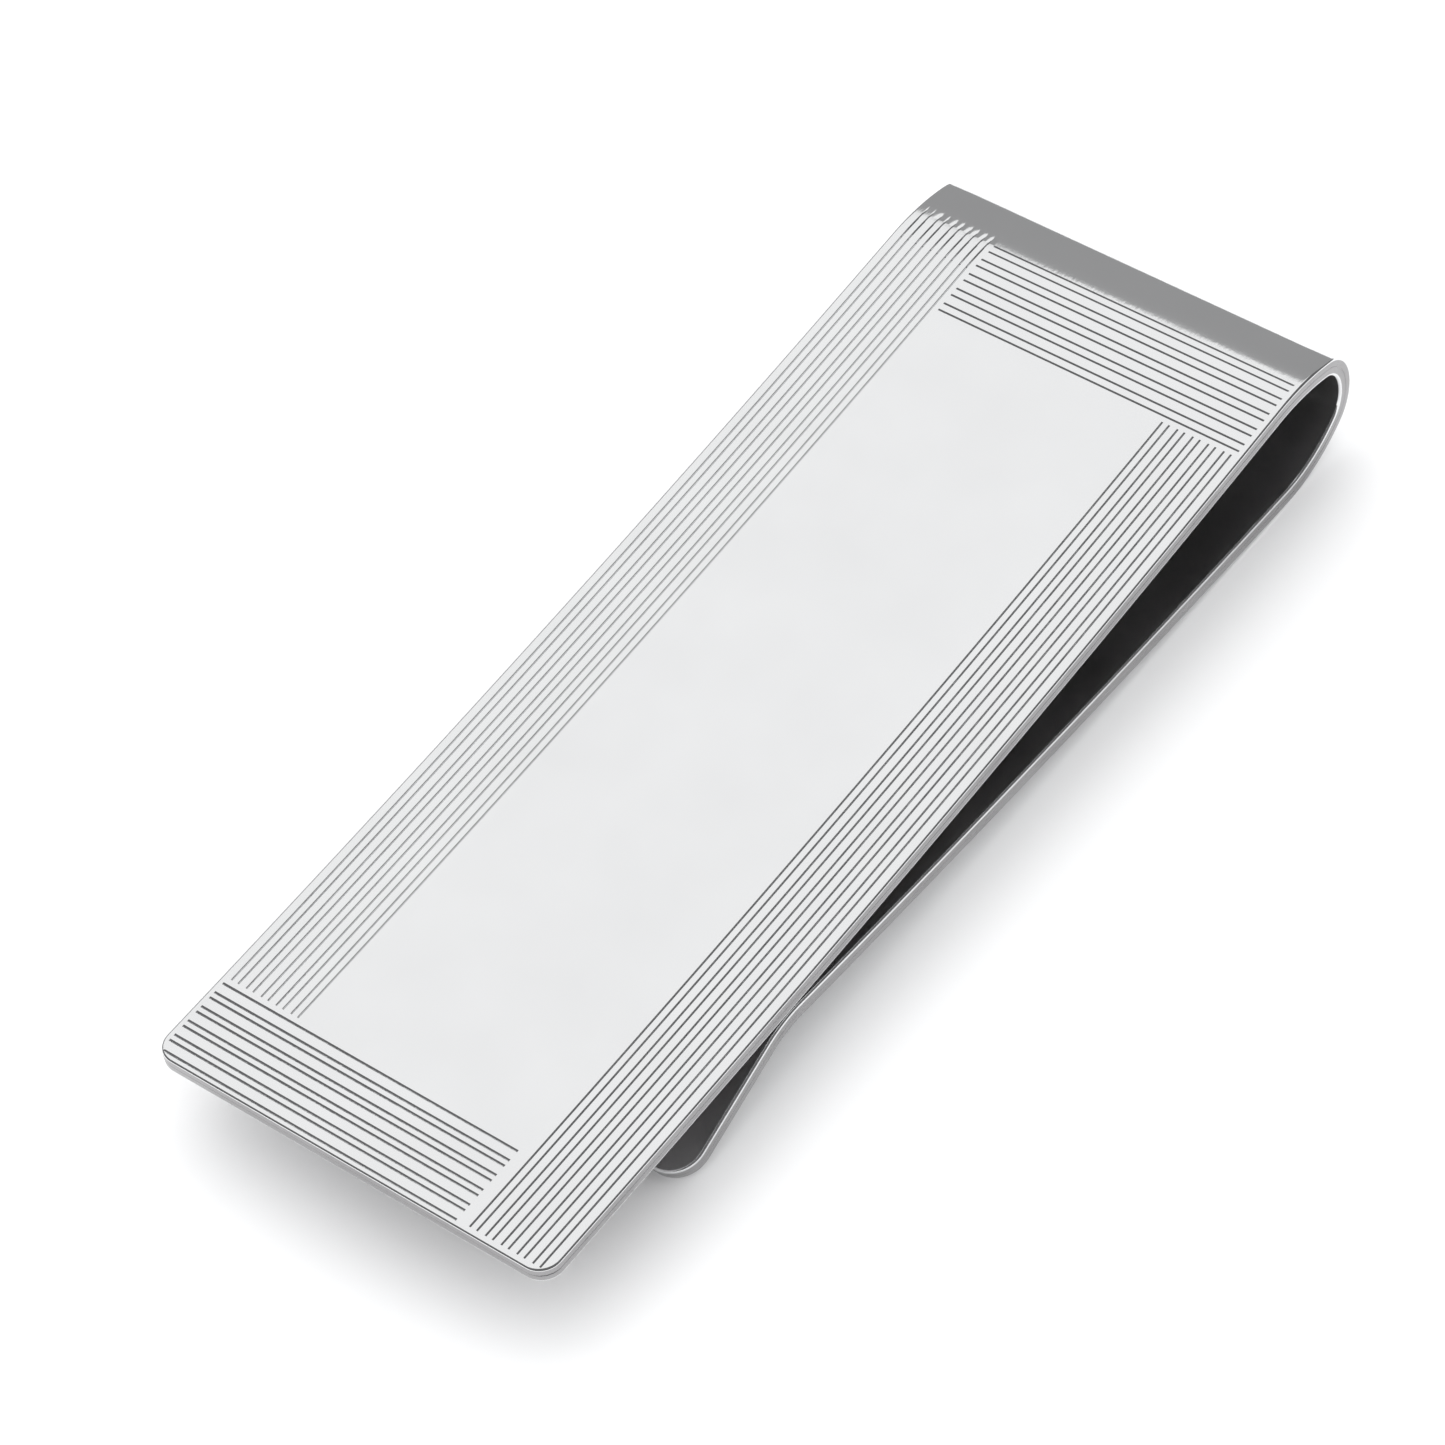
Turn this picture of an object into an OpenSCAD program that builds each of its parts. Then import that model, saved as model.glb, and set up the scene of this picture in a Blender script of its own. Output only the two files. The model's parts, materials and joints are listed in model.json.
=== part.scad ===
// Money clip: one strip of spring metal, folded back under its engraved front plate.
// The strip is described as it is formed, from the free end of the front plate, round
// the fold, along the spring arm to the tip of the lift lip. The seven nodes are the
// zones of that strip, so that the clip can open about its fold.
// Row frame: +X across the clip, +Y from the open end to the fold, +Z up. The clip lies
// on z = 0 on its heel and its lip, and the origin is under the middle of its box.

/* [Strip] */
// Width of the strip, which is the width of the clip
strip_w = 17.2; // [15:0.1:20]
// Thickness of the strip
sheet = 0.7; // [0.5:0.05:0.9]

/* [Front plate] */
// Length of the front plate, from its free end to where the fold begins
plate_run = 43.37; // [43.3:0.01:43.42]
// Corner radius at the free end of the front plate
plate_corner = 0.85; // [0.5:0.05:3]

/* [Fold] */
// Outer radius of the gentle shoulder where the front plate turns down
shoulder_r = 8.77; // [8:0.01:9.4]
// Angle that the gentle shoulder turns through
shoulder_turn = 22; // [19:0.1:25]
// Outer radius of the tight nose of the fold
nose_r = 1.9; // [1.7:0.05:2.2]
// Angle that the tight nose turns through
nose_turn = 121; // [117:0.5:125]
// Outer radius of the gentle heel between the nose and the arm, which the clip rests on
heel_r = 5.42; // [5:0.02:6]

/* [Spring arm] */
// Slope of the arm where it leaves the fold, towards the front plate
arm_rise = 4.9; // [4.2:0.1:5.4]
// Slope of the arm where it meets the grip ridge
arm_top_slope = 8.4; // [7.8:0.1:9.2]
// Free gap between the closed arm and the underside of the front plate
closed_gap = 0.12; // [0.08:0.01:0.3]

/* [Grip ridge and lift lip] */
// Upper radius of the ridge that presses the notes against the front plate
ridge_r = 4; // [3:0.1:6]
// Slope of the lift lip, away from the front plate
lip_drop = 19.5; // [15:0.5:24]
// Length of the lift lip, from the ridge to its tip
lip_run = 5.55; // [4.8:0.05:6.6]
// Corner radius of the tip of the lift lip
lip_corner = 1.3; // [0.8:0.1:3]

/* [Engraving] */
// Width of the blank panel in the middle of the front plate
panel_w = 10.4; // [9:0.1:11]
// Length of the blank panel
panel_l = 37.64; // [37.58:0.02:37.7]
// Distance from the free end of the front plate to the blank panel
panel_start = 3.55; // [3.5:0.01:3.6]
// Pairs of engraved lines in each of the four bands of the border
line_pairs = 5; // [2:1:5]
// Width of an engraved line
line_w = 0.16; // [0.1:0.01:0.2]
// Depth of an engraved line
line_depth = 0.08; // [0.04:0.01:0.12]

/* [Hidden] */
$fn = 96;

// Spacing of the pairs, and of the two lines in a pair, in each kind of band
side_pitch = 0.669;
side_gap = 0.3;
end_pitch = 0.714;
end_gap = 0.448;
fold_pitch = 0.8035;
fold_gap = 0.346;
// Blank margin between the ends of the lines and what they run up to
line_margin = 0.3;
// Cutting tools stand this far out of the face that they cut
proud = 0.05;
// Ends of the lines and of the panel
panel_end = panel_start + panel_l;
line_edge = strip_w / 2 - line_margin;
fold_line_start = -panel_w / 2 + line_margin;
// Angle of the shoulder that the left band covers
shoulder_lines = 11;

// Radii of the middle of the sheet
shoulder_mid = shoulder_r - sheet / 2;
nose_mid = nose_r - sheet / 2;
heel_mid = heel_r - sheet / 2;
ridge_mid = ridge_r - sheet / 2;
// The heel turns on until the arm points back along the plate, at its rising slope
heel_turn = 180 + arm_rise - shoulder_turn - nose_turn;

// A place on the strip is [y, z, heading]: the middle of the sheet, and the way it runs.
// A straight run moves the place along its heading.
function after_run(place, run) =
    [place[0] + run * cos(place[2]), place[1] + run * sin(place[2]), place[2]];
// The centre of a bend. A negative radius bends clockwise, seen with +Y to the right.
function bend_centre(place, radius) =
    [place[0] - radius * sin(place[2]), place[1] + radius * cos(place[2])];
// A bend moves the place round that centre, and turns the heading.
function after_bend(place, radius, turn) =
    let (centre = bend_centre(place, radius), heading = place[2] + turn)
    [centre[0] + radius * sin(heading), centre[1] - radius * cos(heading), heading];

free_end = [0, -sheet / 2, 0];
plate_end = after_run(free_end, plate_run);
shoulder_end = after_bend(plate_end, -shoulder_mid, -shoulder_turn);
hinge = bend_centre(shoulder_end, -nose_mid);
nose_end = after_bend(shoulder_end, -nose_mid, -nose_turn);
heel = bend_centre(nose_end, -heel_mid);
arm_start = after_bend(nose_end, -heel_mid, -heel_turn);
// The arm is one shallow curve, up to the ridge that just misses the front plate
ridge_top = -sheet - closed_gap - sheet / 2;
ridge_start_z = ridge_top - ridge_mid * (1 - cos(arm_top_slope));
arm_mid = (ridge_start_z - arm_start[1]) / (cos(arm_rise) - cos(arm_top_slope));
arm_turn = arm_top_slope - arm_rise;
ridge_start = after_bend(arm_start, -arm_mid, -arm_turn);
ridge_turn = arm_top_slope + lip_drop;
ridge_end = after_bend(ridge_start, ridge_mid, ridge_turn);
lip_tip = after_run(ridge_end, lip_run);

// The clip lies on the underside of its heel and on the lower edge of its lip
tip_edge = [lip_tip[0] - sheet / 2 * sin(lip_drop), lip_tip[1] - sheet / 2 * cos(lip_drop)];
reach = norm([heel[0] - tip_edge[0], heel[1] - tip_edge[1]]);
rest_tilt = atan2(tip_edge[1] - heel[1], heel[0] - tip_edge[0]) + asin(heel_r / reach);
rest_z = heel_r - heel[0] * sin(rest_tilt) - heel[1] * cos(rest_tilt);
// Back of the tilted clip along Y. Its front is the upper edge of the free end, at 0.
back_y = hinge[0] * cos(rest_tilt) - hinge[1] * sin(rest_tilt) + nose_r;

// Stands the formed strip on its resting surface
module at_rest() {
    translate([0, -back_y / 2, rest_z]) rotate([rest_tilt, 0, 0]) children();
}

// Outline of a strip end with two rounded corners at y = 0
module rounded_end(run, corner) {
    translate([-strip_w / 2, corner]) square([strip_w, run - corner]);
    translate([-strip_w / 2 + corner, 0]) square([strip_w - 2 * corner, run]);
    for (side = [-1, 1]) translate([side * (strip_w / 2 - corner), corner]) circle(corner);
}

// A ring sector about X, from one polar angle in the YZ plane, with the given half section
module sector(centre, from, angle) {
    translate([0, centre[0], centre[1]]) rotate([90, 0, 90]) rotate([0, 0, from])
        rotate_extrude(angle = angle) children();
}

// A bent piece of the strip
module bend_of_strip(place, radius, turn) {
    from = radius > 0 ? place[2] - 90 : place[2] + 90 + turn;
    sector(bend_centre(place, radius), from, abs(turn))
        translate([abs(radius) - sheet / 2, -strip_w / 2]) square([sheet, strip_w]);
}

// Section of the cutter for one engraved line, with its point downwards
module line_section() {
    flare = 1 + proud / line_depth;
    polygon([[0, -line_depth], [line_w / 2 * flare, proud], [-line_w / 2 * flare, proud]]);
}

// Engraved line across the flat plate, at y, from x = start to x = end
module cross_line(y, start, end) {
    translate([start, y, 0]) rotate([90, 0, 90]) linear_extrude(end - start) line_section();
}

// Engraved line along the flat plate, at x, from y = start to y = end
module long_line(x, start, end) {
    translate([x, end, 0]) rotate([90, 0, 0]) linear_extrude(end - start) line_section();
}

// Distances of a band's lines from the panel
function band(pitch, gap) = [for (i = [0:line_pairs - 1], j = [0, 1]) i * pitch + j * gap];

// Four bands of lines that follow each other round the blank panel. The part of the
// pattern that runs past the flat plate is cut into the shoulder instead.
module plate_engraving() {
    for (d = band(side_pitch, side_gap)) {
        long_line(-panel_w / 2 - d, panel_start + line_margin, plate_run + proud);
        long_line(panel_w / 2 + d, line_margin, panel_end - line_margin);
    }
    for (d = band(end_pitch, end_gap)) {
        cross_line(panel_start - d, -line_edge, panel_w / 2 - 2 * line_margin);
    }
    for (d = band(fold_pitch, fold_gap)) {
        if (panel_end + d <= plate_run) cross_line(panel_end + d, fold_line_start, line_edge);
    }
}

module shoulder_engraving() {
    // what is left of the left band fades out just past the last line across
    for (d = band(side_pitch, side_gap)) {
        sector([plate_run, -shoulder_r], 90 - shoulder_lines, shoulder_lines + 1)
            translate([shoulder_r, -panel_w / 2 - d]) rotate(-90) line_section();
    }
    for (d = band(fold_pitch, fold_gap)) {
        turn = (panel_end + d - plate_run) / shoulder_r * 180 / PI;
        if (turn > 0) translate([0, plate_run, -shoulder_r]) rotate([-turn, 0, 0])
            translate([0, 0, shoulder_r]) cross_line(0, fold_line_start, line_edge);
    }
}

// Engraved front plate
module front_plate() {
    color("silver") at_rest() difference() {
        translate([0, 0, -sheet]) linear_extrude(sheet) rounded_end(plate_run, plate_corner);
        plate_engraving();
    }
}

// Gentle shoulder where the plate turns down into the fold
module fold_shoulder() {
    color("silver") at_rest() difference() {
        bend_of_strip(plate_end, -shoulder_mid, -shoulder_turn);
        shoulder_engraving();
    }
}

// Tight nose of the fold, which works as the spring
module fold_nose() {
    color("gainsboro") at_rest() bend_of_strip(shoulder_end, -nose_mid, -nose_turn);
}

// Gentle heel between the nose and the arm
module fold_heel() {
    color("gainsboro") at_rest() bend_of_strip(nose_end, -heel_mid, -heel_turn);
}

// Bellied arm under the plate
module spring_arm() {
    color("lightgray") at_rest() bend_of_strip(arm_start, -arm_mid, -arm_turn);
}

// Ridge that presses the notes against the underside of the plate
module grip_ridge() {
    color("gainsboro") at_rest() bend_of_strip(ridge_start, ridge_mid, ridge_turn);
}

// Flared lip with round corners, which guides the notes in
module lift_lip() {
    color("lightgray") at_rest() translate([0, lip_tip[0], lip_tip[1]])
        rotate([lip_tip[2] + 180, 0, 0]) translate([0, 0, -sheet / 2])
        linear_extrude(sheet) rounded_end(lip_run, lip_corner);
}

front_plate();
fold_shoulder();
fold_nose();
fold_heel();
spring_arm();
grip_ridge();
lift_lip();
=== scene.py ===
# Money clip: one folded strip of bright metal, with an engraved front plate.
# Every piece is built in millimetres on the strip's own path, then placed in the frame.
import json
import math

import bpy
import numpy as np
from mathutils import Matrix, Vector


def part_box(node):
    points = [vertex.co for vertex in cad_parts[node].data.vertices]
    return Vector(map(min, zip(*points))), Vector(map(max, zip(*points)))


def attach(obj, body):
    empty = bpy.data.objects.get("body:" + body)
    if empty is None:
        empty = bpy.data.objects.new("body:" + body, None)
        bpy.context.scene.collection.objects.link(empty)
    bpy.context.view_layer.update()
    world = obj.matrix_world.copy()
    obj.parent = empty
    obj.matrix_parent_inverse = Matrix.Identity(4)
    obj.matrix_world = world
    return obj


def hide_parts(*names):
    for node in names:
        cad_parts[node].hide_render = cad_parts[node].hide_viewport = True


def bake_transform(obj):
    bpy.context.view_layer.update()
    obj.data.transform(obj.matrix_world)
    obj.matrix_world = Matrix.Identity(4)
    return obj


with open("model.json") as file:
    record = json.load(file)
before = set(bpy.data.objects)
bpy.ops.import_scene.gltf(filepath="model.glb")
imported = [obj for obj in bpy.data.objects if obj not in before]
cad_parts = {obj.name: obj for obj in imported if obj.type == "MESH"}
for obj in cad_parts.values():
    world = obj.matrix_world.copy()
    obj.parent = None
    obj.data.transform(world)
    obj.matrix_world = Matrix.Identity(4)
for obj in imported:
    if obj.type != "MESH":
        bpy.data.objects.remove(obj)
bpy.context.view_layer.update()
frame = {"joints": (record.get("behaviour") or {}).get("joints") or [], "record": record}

# ---------------------------------------------------------------- sizes, in millimetres
MM = 0.001
SHEET = 0.7
EDGE_ROUND = 0.1
# The cut edge has a fine groove along it, and is bright again near the slot face. Heights on
# it are from the middle of the sheet.
GROOVE_AT, GROOVE_HALF, GROOVE_DEPTH = 0.02, 0.035, 0.02
BRIGHT_BELOW = -0.23
PLATE_RUN = 43.37
PLATE_CORNER = 0.85
SHOULDER_R = 8.77
SHOULDER_TURN = 22.0
NOSE_R = 1.9
NOSE_TURN = 121.0
HEEL_R = 5.42
ARM_RISE = 4.9
ARM_TOP_SLOPE = 8.4
CLOSED_GAP = 0.12
RIDGE_R = 4.0
LIP_DROP = 19.5
LIP_RUN = 5.55
LIP_CORNER = 1.3

# Engraving. A band's pitch is between its pairs, and its gap is between the two lines of a pair.
PANEL_W = 10.4
PANEL_START = 3.55
PANEL_END = 41.19
LINE_PAIRS = 5
LINE_W = 0.12
LINE_DEPTH = 0.045
# How wide each band's lines are, as a share of LINE_W: the left band is the faintest, and the
# one at the free end the boldest
LEFT_CUT, RIGHT_CUT, END_CUT, FOLD_CUT = 0.62, 0.66, 0.85, 0.7
SIDE_PITCH, SIDE_GAP = 0.669, 0.3
END_PITCH, END_GAP = 0.714, 0.448
FOLD_PITCH, FOLD_GAP = 0.8035, 0.346
LINE_MARGIN = 0.3
# The left band ends this far along the shoulder, and fades out over the last stretch
SHOULDER_LINES = 1.9
FADE = 1.3
# Farther than any line reaches
FAR = 99.0

# Meshing: the closest that two grid lines may lie, and the steps at the rim, round the corners
# and round the shoulder
CLOSEST = 0.0135
RIM_STEP = 0.03
CORNER_STEP = 0.06
SHOULDER_STEP = 0.07
LIP_CORNER_STEP = 0.07
# Grid lines where nothing asks for more: across the strip, and along each zone
LINES_ACROSS = 15
PLATE_LINES = 40
NOSE_LINES, HEEL_LINES, ARM_LINES, RIDGE_LINES = 130, 60, 90, 40
LIP_LINES = 12
# Extra grid lines across each round corner of the lip
LIP_CORNER_LINES = 34
# Steps in the rounding of the cut edge's rims
EDGE_STEPS = 5
# A point this near the inset side is on it
TOUCH = 1e-4
# Faces that meet at more than this angle have a crease between them
SHARP_ANGLE = math.radians(24)
# Material slots of every piece
OUTER_FACE, SLOT_FACE, CUT_FACE = 0, 1, 2

# The real front plate is bowed by a hair: its ends stand a little above its middle. The lift
# is BOW at BOW_REACH from the middle, less BOW_DROP everywhere.
BOW, BOW_MIDDLE, BOW_REACH, BOW_DROP = 0.465, 24.05, 22.0, 0.1

# ---------------------------------------------------------------- what the frame gives
low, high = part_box("front_plate")
STRIP_W = (high.x - low.x) / MM
HALF_W = STRIP_W / 2
record = frame["record"]
panel_mount = next(m for m in record["mounts"] if m["name"] == "engraving_panel")
TILT = math.atan2(-panel_mount["axis"][1], panel_mount["axis"][2])
hinge_row = Vector(frame["joints"][0]["pos_m"])


# ---------------------------------------------------------------- the strip's path
# A place is (y, z, heading) of the middle of the sheet. A zone starts at a place and is
# straight (radius None) or bends about its centre, clockwise where the radius is negative.
def centre_of(place, radius):
    y, z, heading = place
    return y - radius * math.sin(heading), z + radius * math.cos(heading)


def end_of(zone):
    """Place at the far end of a zone."""
    y, z, heading = zone["start"]
    if zone["radius"] is None:
        run = zone["run"]
        return y + run * math.cos(heading), z + run * math.sin(heading), heading
    cy, cz = centre_of(zone["start"], zone["radius"])
    heading += zone["run"] / zone["radius"]
    return cy + zone["radius"] * math.sin(heading), cz - zone["radius"] * math.cos(heading), heading


def straight(start, run):
    return {"start": start, "radius": None, "run": run}


def bend(start, radius, turn_deg):
    return {"start": start, "radius": radius, "run": abs(radius) * math.radians(turn_deg)}


plate = straight((0.0, -SHEET / 2, 0.0), PLATE_RUN)
shoulder = bend(end_of(plate), -(SHOULDER_R - SHEET / 2), SHOULDER_TURN)
nose = bend(end_of(shoulder), -(NOSE_R - SHEET / 2), NOSE_TURN)
heel = bend(end_of(nose), -(HEEL_R - SHEET / 2), 180 + ARM_RISE - SHOULDER_TURN - NOSE_TURN)
arm_start = end_of(heel)
ridge_mid = RIDGE_R - SHEET / 2
# The middle of the sheet at the ridge's top: under the plate, the gap and half of the arm
ridge_top = -SHEET - CLOSED_GAP - SHEET / 2
ridge_start_z = ridge_top - ridge_mid * (1 - math.cos(math.radians(ARM_TOP_SLOPE)))
arm_cosines = math.cos(math.radians(ARM_RISE)) - math.cos(math.radians(ARM_TOP_SLOPE))
arm = bend(arm_start, -(ridge_start_z - arm_start[1]) / arm_cosines, ARM_TOP_SLOPE - ARM_RISE)
ridge = bend(end_of(arm), ridge_mid, ARM_TOP_SLOPE + LIP_DROP)
lip = straight(end_of(ridge), LIP_RUN)

# The hinge is the centre of the nose, which ties the path to the frame
hinge_y, hinge_z = centre_of(nose["start"], nose["radius"])
TURN = Matrix.Rotation(TILT, 3, "X")
SHIFT = hinge_row / MM - TURN @ Vector((0.0, hinge_y, hinge_z))


def to_row(points):
    """Points in the front plate's frame, in millimetres, as row frame points in metres."""
    return (points @ np.array(TURN).T + np.array(SHIFT)) * MM


def on_strip(zone, x, s, h):
    """Row frame points at x across, s along the zone and h out from the middle of the sheet."""
    y, z, heading = zone["start"]
    if zone["radius"] is None:
        py = y + s * math.cos(heading) - h * math.sin(heading)
        pz = z + s * math.sin(heading) + h * math.cos(heading)
    else:
        cy, cz = centre_of(zone["start"], zone["radius"])
        turned = heading + s / zone["radius"]
        py = cy - (h - zone["radius"]) * np.sin(turned)
        pz = cz + (h - zone["radius"]) * np.cos(turned)
    return to_row(np.stack([x, py, pz + bow_share(zone, s) * bow_lift(py)], axis=-1))


def bow_lift(y):
    """How far the bow raises the front side at y along it."""
    return BOW * ((y - BOW_MIDDLE) / BOW_REACH) ** 2 - BOW_DROP


def bow_share(zone, s):
    """All of the bow on the front side, none on the spring side, fading round the nose."""
    if zone is nose:
        part = np.clip(s / nose["run"], 0, 1)
        return 1 - part * part * (3 - 2 * part)
    return 1.0 if zone in (plate, shoulder) else 0.0


# ---------------------------------------------------------------- engraving
def band(pitch, gap):
    """Distances of the lines of one band from the panel."""
    return [i * pitch + j * gap for i in range(LINE_PAIRS) for j in (0, 1)]


def line_depth(x, d):
    """Depth of the engraving at x across and d along the upper face."""
    near_long = np.full(np.broadcast(x, d).shape, FAR)
    near_cross = near_long
    sides = ((-1, PANEL_START + LINE_MARGIN, FAR, LEFT_CUT),
             (1, LINE_MARGIN, PANEL_END - LINE_MARGIN, RIGHT_CUT))
    for side, first, last, cut in sides:
        for distance in band(SIDE_PITCH, SIDE_GAP):
            past = np.maximum(np.maximum(first - d, d - last), 0)
            away = np.hypot(x - side * (PANEL_W / 2 + distance), past)
            near_long = np.minimum(near_long, away / cut)
    edge = HALF_W - LINE_MARGIN
    inner = PANEL_W / 2
    ends = ((PANEL_START, -1, END_PITCH, END_GAP, -edge, inner - 2 * LINE_MARGIN, END_CUT),
            (PANEL_END, 1, FOLD_PITCH, FOLD_GAP, -inner + LINE_MARGIN, edge, FOLD_CUT))
    for panel_edge, outward, pitch, gap, first, last, cut in ends:
        for distance in band(pitch, gap):
            past = np.maximum(np.maximum(first - x, x - last), 0)
            away = np.hypot(d - panel_edge - outward * distance, past)
            near_cross = np.minimum(near_cross, away / cut)
    # the left band fades out on the shoulder; the lines across don't
    fade = np.clip((PLATE_RUN + SHOULDER_LINES - d) / FADE, 0, 1)
    depth_long = fade * np.clip(1 - near_long / (LINE_W / 2), 0, 1)
    depth_cross = np.clip(1 - near_cross / (LINE_W / 2), 0, 1)
    return LINE_DEPTH * np.maximum(depth_long, depth_cross)


def merged(exact, filler):
    """Grid lines: every exact one, and each filler that doesn't crowd those before it."""
    kept = sorted(set(round(v, 5) for v in exact))
    for v in filler:
        if min(abs(v - k) for k in kept) > CLOSEST:
            kept.append(v)
    return np.array(sorted(kept))


def edges_of(lines, cut):
    """Grid lines that carry the middle and both edges of each engraved line."""
    return [c + k * cut * LINE_W / 2 for c in lines for k in (-1, 0, 1)]


def ends_of(first, last, cut):
    """Grid lines that carry the two ends of a band's lines."""
    half = cut * LINE_W / 2
    return [first, first - half, last, last + half]


def across_grid(engraved):
    """Grid lines across the strip, between its inset sides."""
    inner = HALF_W - EDGE_ROUND
    exact = [-inner, inner]
    filler = []
    if engraved:
        for side, cut in ((-1, LEFT_CUT), (1, RIGHT_CUT)):
            exact += edges_of([side * (PANEL_W / 2 + d) for d in band(SIDE_PITCH, SIDE_GAP)], cut)
            filler += list(side * np.arange(inner - RIM_STEP, HALF_W - PLATE_CORNER, -CORNER_STEP))
        edge = HALF_W - LINE_MARGIN
        filler = ends_of(-edge, PANEL_W / 2 - 2 * LINE_MARGIN, END_CUT) + filler
        filler = ends_of(-PANEL_W / 2 + LINE_MARGIN, edge, FOLD_CUT) + filler
    filler += list(np.linspace(-inner, inner, LINES_ACROSS))
    return merged(exact, filler)


def plate_grid():
    """Grid lines along the front plate, from the inset free end to the shoulder."""
    lines = edges_of([PANEL_START - d for d in band(END_PITCH, END_GAP)], END_CUT)
    lines += edges_of([PANEL_END + d for d in band(FOLD_PITCH, FOLD_GAP)], FOLD_CUT)
    exact = [EDGE_ROUND, PLATE_RUN] + [e for e in lines if e < PLATE_RUN]
    filler = ends_of(LINE_MARGIN, PANEL_END - LINE_MARGIN, RIGHT_CUT)
    # the left band runs on past the plate, so only its first end is here
    filler += ends_of(PANEL_START + LINE_MARGIN, FAR, LEFT_CUT)[:2]
    filler += list(np.arange(EDGE_ROUND, PLATE_CORNER, CORNER_STEP))
    filler += list(np.linspace(EDGE_ROUND, PLATE_RUN, PLATE_LINES))
    return merged(exact, filler)


def shoulder_grid():
    """Grid lines along the shoulder, as distances along its upper face."""
    lines = [PANEL_END + d - PLATE_RUN for d in band(FOLD_PITCH, FOLD_GAP)]
    length = SHOULDER_R * math.radians(SHOULDER_TURN)
    exact = [0.0, length] + [e for e in edges_of(lines, FOLD_CUT) if e > 0]
    return merged(exact, np.arange(0, length, SHOULDER_STEP))


# ---------------------------------------------------------------- mesh of one zone
def outline_normal(x, t, length, corner):
    """Outward direction in plan at a point of the inset outline. It is none at the ends that
    meet the next zone."""
    side = abs(x) > HALF_W - EDGE_ROUND - TOUCH
    if t < corner and abs(x) > HALF_W - corner:
        dx, dt = abs(x) - (HALF_W - corner), t - corner
        size = math.hypot(dx, dt)
        return math.copysign(dx / size, x), dt / size
    if side:
        return math.copysign(1.0, x), 0.0
    if corner > 0 and t < length / 2:
        return 0.0, -1.0
    return 0.0, 0.0


def outline_loop(quads):
    """The boundary of a patch of quads, as a loop of points that follows their direction."""
    following = {}
    for quad in quads:
        for a, b in zip(quad, np.roll(quad, -1)):
            if (b, a) in following:
                del following[(b, a)]
            else:
                following[(a, b)] = True
    step = {a: b for a, b in following}
    loop = [next(iter(step))]
    while step[loop[-1]] != loop[0]:
        loop.append(step[loop[-1]])
    return loop


def patch(across, along, corner):
    """Points x and t, quads and outline of one face, with its two corners at t = 0 round
    where corner is over 0."""
    x, t = np.meshgrid(across, along, indexing="ij")
    number = np.arange(x.size).reshape(x.shape)
    quads = np.stack([number[:-1, :-1], number[1:, :-1], number[1:, 1:], number[:-1, 1:]], -1)
    middle_x = (x[:-1, :-1] + x[1:, 1:]) / 2
    middle_t = (t[:-1, :-1] + t[1:, 1:]) / 2
    dx, dt = np.abs(middle_x) - (HALF_W - corner), corner - middle_t
    cut_off = (dx > 0) & (dt > 0) & (np.hypot(dx, dt) > corner - EDGE_ROUND)
    quads = quads[~cut_off]
    x, t = x.ravel().copy(), t.ravel().copy()

    # outline points at the round corners move on to the arc
    loop = outline_loop(quads)
    for v in loop:
        dx, dt = abs(x[v]) - (HALF_W - corner), t[v] - corner
        if dx > 0 and dt < 0:
            size = (corner - EDGE_ROUND) / math.hypot(dx, dt)
            x[v] = math.copysign(HALF_W - corner + dx * size, x[v])
            t[v] = corner + dt * size

    used = np.unique(quads)
    renumber = np.full(x.size, -1)
    renumber[used] = np.arange(len(used))
    return x[used], t[used], renumber[quads], renumber[loop]


def edge_profile():
    """Section of the cut edge from the upper face to the slot face: how far out of the inset
    outline, in EDGE_ROUNDs, and the height."""
    half = SHEET / 2
    quarter = [math.radians(90) * k / EDGE_STEPS for k in range(1, EDGE_STEPS + 1)]
    rounding = [(math.sin(a), half - EDGE_ROUND * (1 - math.cos(a))) for a in quarter]
    bottom = 1 - GROOVE_DEPTH / EDGE_ROUND
    groove = [(1, GROOVE_AT + GROOVE_HALF), (bottom, GROOVE_AT), (1, GROOVE_AT - GROOVE_HALF)]
    return rounding + groove + [(1, BRIGHT_BELOW)] + [(out, -h) for out, h in reversed(rounding)]


def edge_faces(rings, heights):
    """Faces between neighbouring rings round the cut edge, and the material slot of each."""
    faces = []
    slots = []
    for upper, lower, height in zip(rings, rings[1:], heights):
        sheared = BRIGHT_BELOW < height < SHEET / 2 - EDGE_ROUND / 2
        for k in range(len(upper)):
            n = (k + 1) % len(upper)
            faces.append([upper[n], upper[k], lower[k], lower[n]])
            slots.append(CUT_FACE if sheared else OUTER_FACE)
    return faces, slots


def mesh_object(name, points, faces, slots):
    """New smooth object, with a material slot for each face."""
    mesh = bpy.data.meshes.new(name)
    mesh.from_pydata(points.tolist(), [], faces)
    mesh.polygons.foreach_set("material_index", slots)
    mesh.polygons.foreach_set("use_smooth", np.ones(len(faces), bool))
    mesh.update()
    mesh.set_sharp_from_angle(angle=SHARP_ANGLE)
    obj = bpy.data.objects.new(name, mesh)
    bpy.context.scene.collection.objects.link(obj)
    return obj


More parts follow.
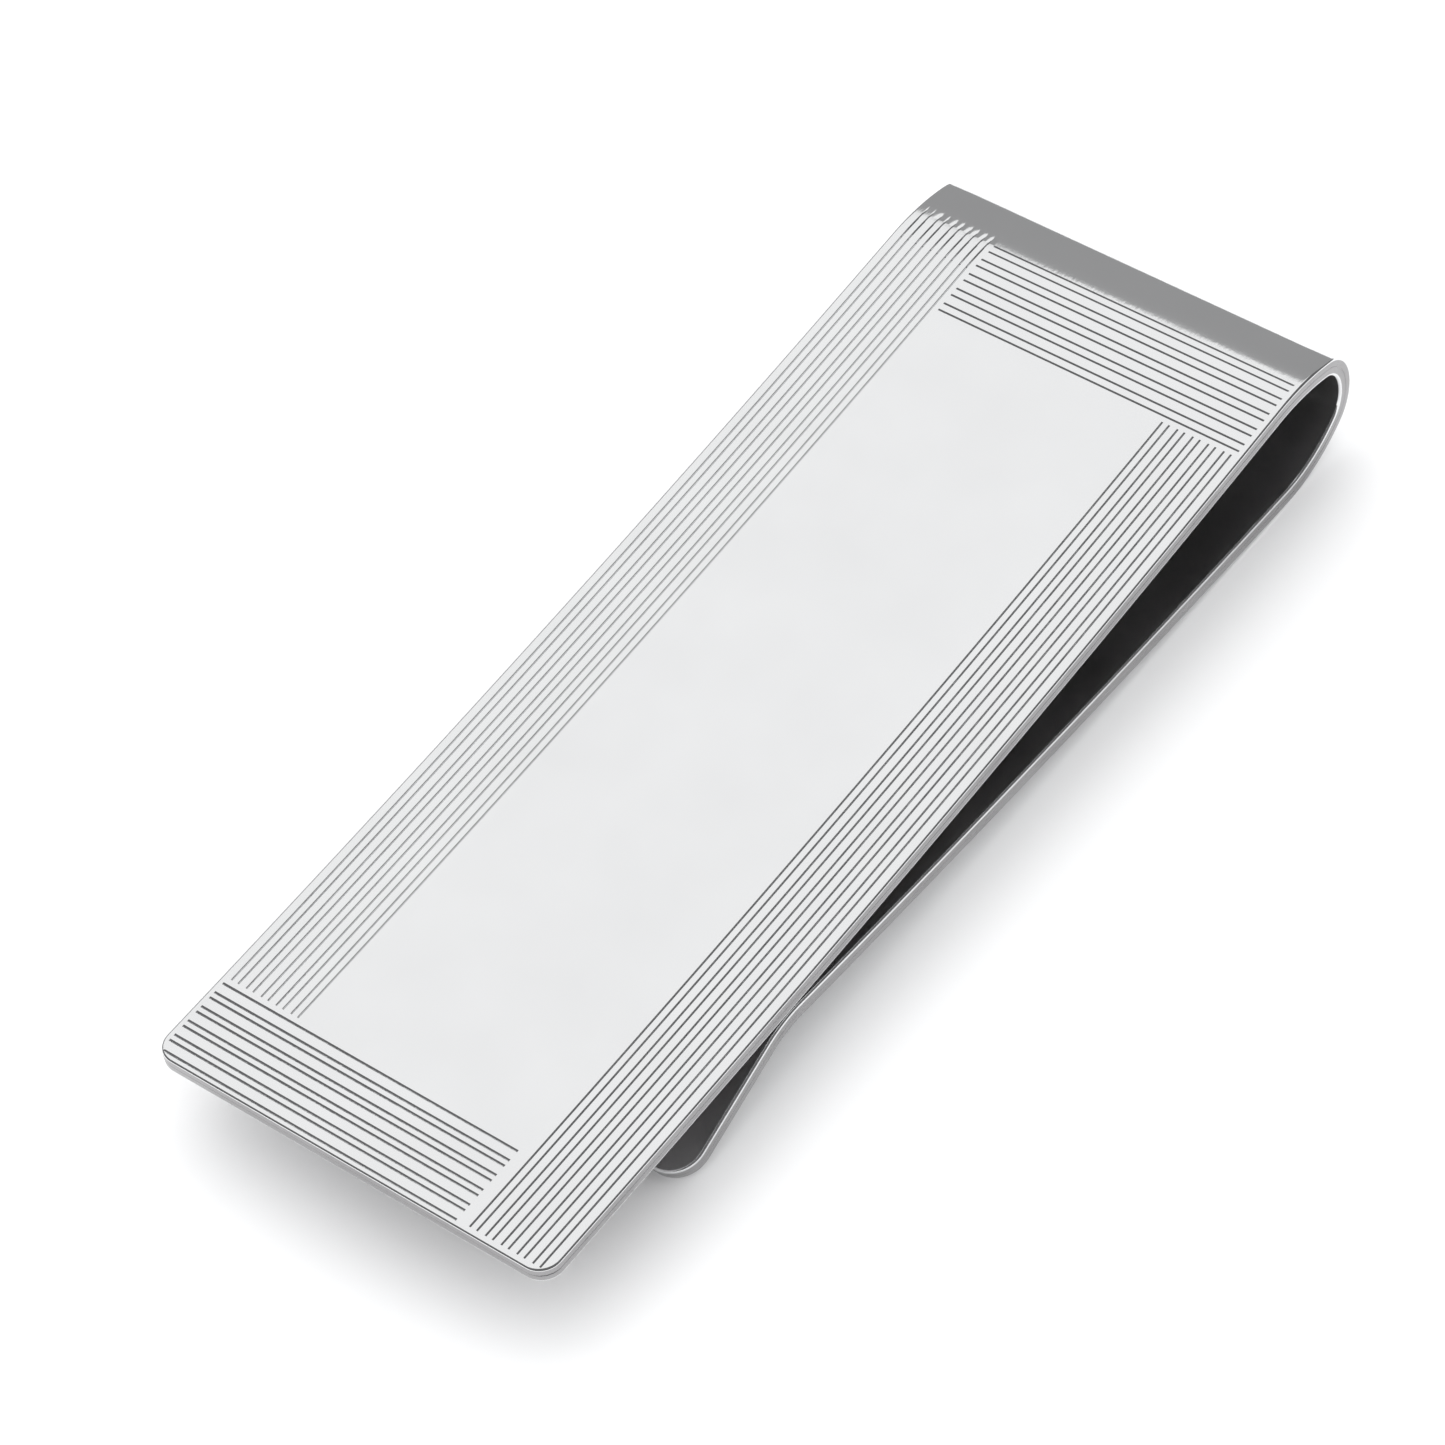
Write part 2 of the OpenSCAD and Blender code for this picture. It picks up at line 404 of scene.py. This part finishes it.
def strip_piece(name, zone, across, along, corner=0.0, flip=False, stretch=1.0, depth=None):
    """Closed solid of one zone: a grid on each face, joined by a rounded edge.
    along holds distances t from the rounded end, or from either end where corner is 0;
    flip counts them from the zone's far end. stretch turns upper face distances into
    distances along the middle of the sheet."""
    x, t, quads, loop = patch(across, along, corner)
    length = along[-1]
    count = len(x)
    cut = depth(x, t) if depth else 0 * x
    px, pt, ph = [x, x], [t, t], [SHEET / 2 - cut, 0 * x - SHEET / 2]

    # rings of points round the cut edge, from the upper face to the slot face
    normals = np.array([outline_normal(x[v], t[v], length, corner) for v in loop])
    profile = edge_profile()
    rings = [loop.tolist()]
    for number, (out, h) in enumerate(profile):
        px.append(x[loop] + normals[:, 0] * EDGE_ROUND * out)
        pt.append(t[loop] + normals[:, 1] * EDGE_ROUND * out)
        ph.append(np.full(len(loop), h))
        first = 2 * count + number * len(loop)
        rings.append(list(range(first, first + len(loop))))
    rings.append((loop + count).tolist())

    px, pt, ph = (np.concatenate(a) for a in (px, pt, ph))
    points = on_strip(zone, px, (length - pt if flip else pt) * stretch, ph)
    round_edge, edge_slots = edge_faces(rings, [SHEET / 2] + [h for _, h in profile])
    faces = quads.tolist() + (quads[:, ::-1] + count).tolist() + round_edge
    slots = [OUTER_FACE] * len(quads) + [SLOT_FACE] * len(quads) + edge_slots
    if flip:
        faces = [face[::-1] for face in faces]
    return mesh_object(name, points, faces, slots)


# ---------------------------------------------------------------- materials
# The plating's patterns have this many cells per metre
CLOUD_SCALE = 260
GRAIN_SCALE = 5200
HAIRLINE_SCALE = (9000, 260, 9000)
HAIRLINE_TURN = 0.12
# Roughness in the glossiest and the least glossy patches, as shares of the given roughness
GLOSSIEST, LEAST_GLOSSY = 0.6, 1.5
BUMP_STRENGTH = 0.05
BUMP_DISTANCE = 0.00002
# The floor's pattern has this many cells across it
FLOOR_SCALE = 9
CLOUD_DETAIL, GRAIN_DETAIL, PLAIN_DETAIL = 6, 3, 2


def principled(name, colour, metallic, roughness):
    """New material, with its node tree and its shader."""
    material = bpy.data.materials.new(name)
    material.use_nodes = True
    tree = material.node_tree
    shader = tree.nodes["Principled BSDF"]
    shader.inputs["Base Color"].default_value = (*colour, 1)
    shader.inputs["Metallic"].default_value = metallic
    shader.inputs["Roughness"].default_value = roughness
    return material, tree, shader


def noise(tree, scale, detail, place=None):
    """Noise pattern, at the given place or else over the object's box."""
    pattern = tree.nodes.new("ShaderNodeTexNoise")
    pattern.inputs["Scale"].default_value = scale
    pattern.inputs["Detail"].default_value = detail
    if place is not None:
        tree.links.new(place, pattern.inputs["Vector"])
    return pattern.outputs["Fac"]


def tint(tree, shader, pattern, first, second):
    """Base colour that goes from the first colour to the second with a pattern."""
    mix = tree.nodes.new("ShaderNodeMix")
    mix.data_type = "RGBA"
    mix.inputs["A"].default_value = (*first, 1)
    mix.inputs["B"].default_value = (*second, 1)
    tree.links.new(pattern, mix.inputs["Factor"])
    tree.links.new(mix.outputs["Result"], shader.inputs["Base Color"])


def scratch(tree, shader, place):
    """Bump of fine grain and of hairlines that run nearly along the strip."""
    grain = noise(tree, GRAIN_SCALE, GRAIN_DETAIL, place)
    drawn_out = tree.nodes.new("ShaderNodeMapping")
    drawn_out.inputs["Scale"].default_value = HAIRLINE_SCALE
    drawn_out.inputs["Rotation"].default_value = (0, 0, HAIRLINE_TURN)
    tree.links.new(place, drawn_out.inputs["Vector"])
    hairline = noise(tree, 1, PLAIN_DETAIL, drawn_out.outputs["Vector"])
    both = tree.nodes.new("ShaderNodeMath")
    both.operation = "ADD"
    tree.links.new(grain, both.inputs[0])
    tree.links.new(hairline, both.inputs[1])
    bump = tree.nodes.new("ShaderNodeBump")
    bump.inputs["Strength"].default_value = BUMP_STRENGTH
    bump.inputs["Distance"].default_value = BUMP_DISTANCE
    tree.links.new(both.outputs["Value"], bump.inputs["Height"])
    tree.links.new(bump.outputs["Normal"], shader.inputs["Normal"])


def bright_metal(name, colour, dull, roughness):
    """Polished plating: faint clouding of colour and gloss, fine grain and hairline scratches."""
    material, tree, shader = principled(name, colour, 1.0, roughness)
    place = tree.nodes.new("ShaderNodeTexCoord").outputs["Object"]
    cloud = noise(tree, CLOUD_SCALE, CLOUD_DETAIL, place)
    tint(tree, shader, cloud, colour, dull)
    gloss = tree.nodes.new("ShaderNodeMapRange")
    gloss.inputs["To Min"].default_value = roughness * GLOSSIEST
    gloss.inputs["To Max"].default_value = roughness * LEAST_GLOSSY
    tree.links.new(cloud, gloss.inputs["Value"])
    tree.links.new(gloss.outputs["Result"], shader.inputs["Roughness"])
    scratch(tree, shader, place)
    return material


def bright_plating():
    """The polished upper face and rims."""
    return bright_metal("bright_plating", (0.84, 0.845, 0.85), (0.78, 0.785, 0.79), 0.09)


def shaded_slot_plating():
    """The slot face: rougher than the upper face, and its colour painted darker as painted shade
    inside the slot.
    """
    return bright_metal("shaded_slot_plating", (0.58, 0.575, 0.58), (0.46, 0.455, 0.46), 0.3)


def sheared_edge():
    """The cut edge of the strip."""
    return bright_metal("sheared_edge", (0.45, 0.445, 0.45), (0.29, 0.285, 0.29), 0.24)


def floor_paint():
    """Matt white sweep with the faintest unevenness."""
    material, tree, shader = principled("studio_white", (0.9, 0.9, 0.9), 0.0, 0.9)
    shader.inputs["Specular IOR Level"].default_value = 0.0
    uneven = noise(tree, FLOOR_SCALE, PLAIN_DETAIL)
    tint(tree, shader, uneven, (0.9, 0.9, 0.905), (0.88, 0.885, 0.89))
    return material


# ---------------------------------------------------------------- pieces
def finish_piece(obj, node, surfaces):
    """Gives a piece its three surfaces, which make its finish, and hides the CAD node that it
    replaces.
    """
    for material in surfaces:
        obj.data.materials.append(material)
    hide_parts(node)


def plain_piece(name, zone, lines):
    """Piece of a zone that is neither engraved nor round at an end."""
    return strip_piece(name, zone, across_grid(False), np.linspace(0, zone["run"], lines))


def make_front_plate(surfaces):
    piece = strip_piece("engraved_front_plate", plate, across_grid(True), plate_grid(),
                        corner=PLATE_CORNER, depth=line_depth)
    finish_piece(piece, "front_plate", surfaces)
    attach(piece, "front_side")


def make_shoulder(surfaces):
    piece = strip_piece("engraved_shoulder", shoulder, across_grid(True), shoulder_grid(),
                        stretch=(SHOULDER_R - SHEET / 2) / SHOULDER_R,
                        depth=lambda x, d: line_depth(x, d + PLATE_RUN))
    finish_piece(piece, "fold_shoulder", surfaces)
    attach(piece, "front_side")


def make_nose(surfaces):
    piece = plain_piece("spring_nose", nose, NOSE_LINES)
    finish_piece(piece, "fold_nose", surfaces)
    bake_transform(piece)


def make_heel(surfaces):
    piece = plain_piece("resting_heel", heel, HEEL_LINES)
    finish_piece(piece, "fold_heel", surfaces)
    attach(piece, "spring_side")


def make_arm(surfaces):
    piece = plain_piece("bellied_arm", arm, ARM_LINES)
    finish_piece(piece, "spring_arm", surfaces)
    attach(piece, "spring_side")


def make_ridge(surfaces):
    piece = plain_piece("pressing_ridge", ridge, RIDGE_LINES)
    finish_piece(piece, "grip_ridge", surfaces)
    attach(piece, "spring_side")


def lip_grids():
    """Grid lines across the lip and along it, from its inset tip to the ridge."""
    plain = across_grid(False)
    inner = plain[-1]
    corner_start = HALF_W - LIP_CORNER
    left = np.linspace(-corner_start, -inner, LIP_CORNER_LINES)
    right = np.linspace(corner_start, inner, LIP_CORNER_LINES)
    across = np.unique(np.concatenate([plain, left, right]))
    round_part = np.arange(EDGE_ROUND, LIP_CORNER, LIP_CORNER_STEP)
    rest = np.linspace(LIP_CORNER, LIP_RUN, LIP_LINES)
    return across, np.unique(np.concatenate([round_part, rest]))


def make_lip(surfaces):
    across, along = lip_grids()
    piece = strip_piece("lift_lip_tip", lip, across, along, corner=LIP_CORNER, flip=True)
    finish_piece(piece, "lift_lip", surfaces)
    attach(piece, "spring_side")


def make_clip():
    """The zones in their order along the strip. Every piece has the same three surfaces."""
    surfaces = (bright_plating(), shaded_slot_plating(), sheared_edge())
    make_front_plate(surfaces)
    make_shoulder(surfaces)
    make_nose(surfaces)
    make_heel(surfaces)
    make_arm(surfaces)
    make_ridge(surfaces)
    make_lip(surfaces)


# ---------------------------------------------------------------- camera
# The eye and the point it looks at, in panel widths from the panel's left corner at the free
# end, at the height of the plate's middle. RIGHT is the picture's right in the plate's frame.
EYE = (9.673, -7.109, 16.265)
LOOK = (0.453, 1.758, 0.0)
RIGHT = (0.79424, 0.59434, -0.12623)
LENS = 152.74
SENSOR = 36.0


def from_panel(units):
    """Row frame point, from panel widths."""
    corner = Vector((-PANEL_W / 2, PANEL_START, -BOW_DROP))
    return Vector(to_row(np.array(corner + Vector(units) * PANEL_W)))


def make_camera():
    data = bpy.data.cameras.new("camera")
    data.lens = LENS
    data.sensor_width = SENSOR
    data.clip_start = 0.005
    data.clip_end = 20
    camera = bpy.data.objects.new("camera", data)
    bpy.context.scene.collection.objects.link(camera)
    eye, look = from_panel(EYE), from_panel(LOOK)
    back = (eye - look).normalized()
    right = TURN @ Vector(RIGHT)
    right = (right - back * right.dot(back)).normalized()
    up = back.cross(right)
    basis = Matrix((right, up, back)).transposed()
    camera.matrix_world = Matrix.Translation(eye) @ basis.to_4x4()
    bpy.context.scene.camera = camera


# ---------------------------------------------------------------- studio
FLOOR_SIZE = 6
WASH_STRENGTH = 3.45
WASH_ANGLE = math.radians(165)
ROOM_LIGHT = (0.15, 0.15, 0.152, 1)
BACKDROP = (1.15, 1.155, 1.16, 1)


def aimed(obj, direction, distance):
    """Places a light along direction from the clip, pointing back at it."""
    away = Vector(direction).normalized()
    obj.location = away * distance
    obj.rotation_euler = away.to_track_quat("Z", "Y").to_euler()


def panel_light(name, direction, distance, width, height, radiance):
    """Rectangular light of a given radiance, which the camera doesn't see."""
    data = bpy.data.lights.new(name, "AREA")
    data.shape = "RECTANGLE"
    data.size, data.size_y = width, height
    data.energy = radiance * math.pi * width * height
    light = bpy.data.objects.new(name, data)
    bpy.context.scene.collection.objects.link(light)
    aimed(light, direction, distance)
    light.visible_camera = False


def compass(azimuth, elevation):
    """Direction at an azimuth from +Y towards -X and an elevation, in degrees."""
    a, e = math.radians(azimuth), math.radians(elevation)
    return (-math.sin(a) * math.cos(e), math.cos(a) * math.cos(e), math.sin(e))


def make_floor():
    bpy.ops.mesh.primitive_plane_add(size=FLOOR_SIZE)
    floor = bpy.context.object
    floor.name = "floor"
    floor.data.materials.append(floor_paint())


def make_wash():
    """Broad light from above for the floor, which isn't mirrored in the metal."""
    data = bpy.data.lights.new("wash", "SUN")
    data.energy = WASH_STRENGTH
    data.angle = WASH_ANGLE
    wash = bpy.data.objects.new("wash", data)
    bpy.context.scene.collection.objects.link(wash)
    aimed(wash, compass(60, 80), 1.0)
    wash.visible_glossy = False


def make_room():
    """World that lights the clip dimly and looks white behind it."""
    world = bpy.data.worlds.new("studio_air")
    bpy.context.scene.world = world
    world.use_nodes = True
    nodes, links = world.node_tree.nodes, world.node_tree.links
    dim = nodes["Background"]
    dim.inputs["Color"].default_value = ROOM_LIGHT
    pale = nodes.new("ShaderNodeBackground")
    pale.inputs["Color"].default_value = BACKDROP
    seen = nodes.new("ShaderNodeLightPath")
    pick = nodes.new("ShaderNodeMixShader")
    links.new(seen.outputs["Is Camera Ray"], pick.inputs["Fac"])
    links.new(dim.outputs["Background"], pick.inputs[1])
    links.new(pale.outputs["Background"], pick.inputs[2])
    links.new(pick.outputs["Shader"], nodes["World Output"].inputs["Surface"])


def make_studio():
    make_floor()
    panel_light("softbox", compass(50, 61), distance=0.6, width=0.62, height=0.5, radiance=0.87)
    panel_light("grey_card", compass(34, 19), distance=0.7, width=1.4, height=0.466, radiance=0.2)
    make_wash()
    make_room()
    bpy.context.scene.view_settings.view_transform = "Standard"


make_camera()
make_clip()
make_studio()
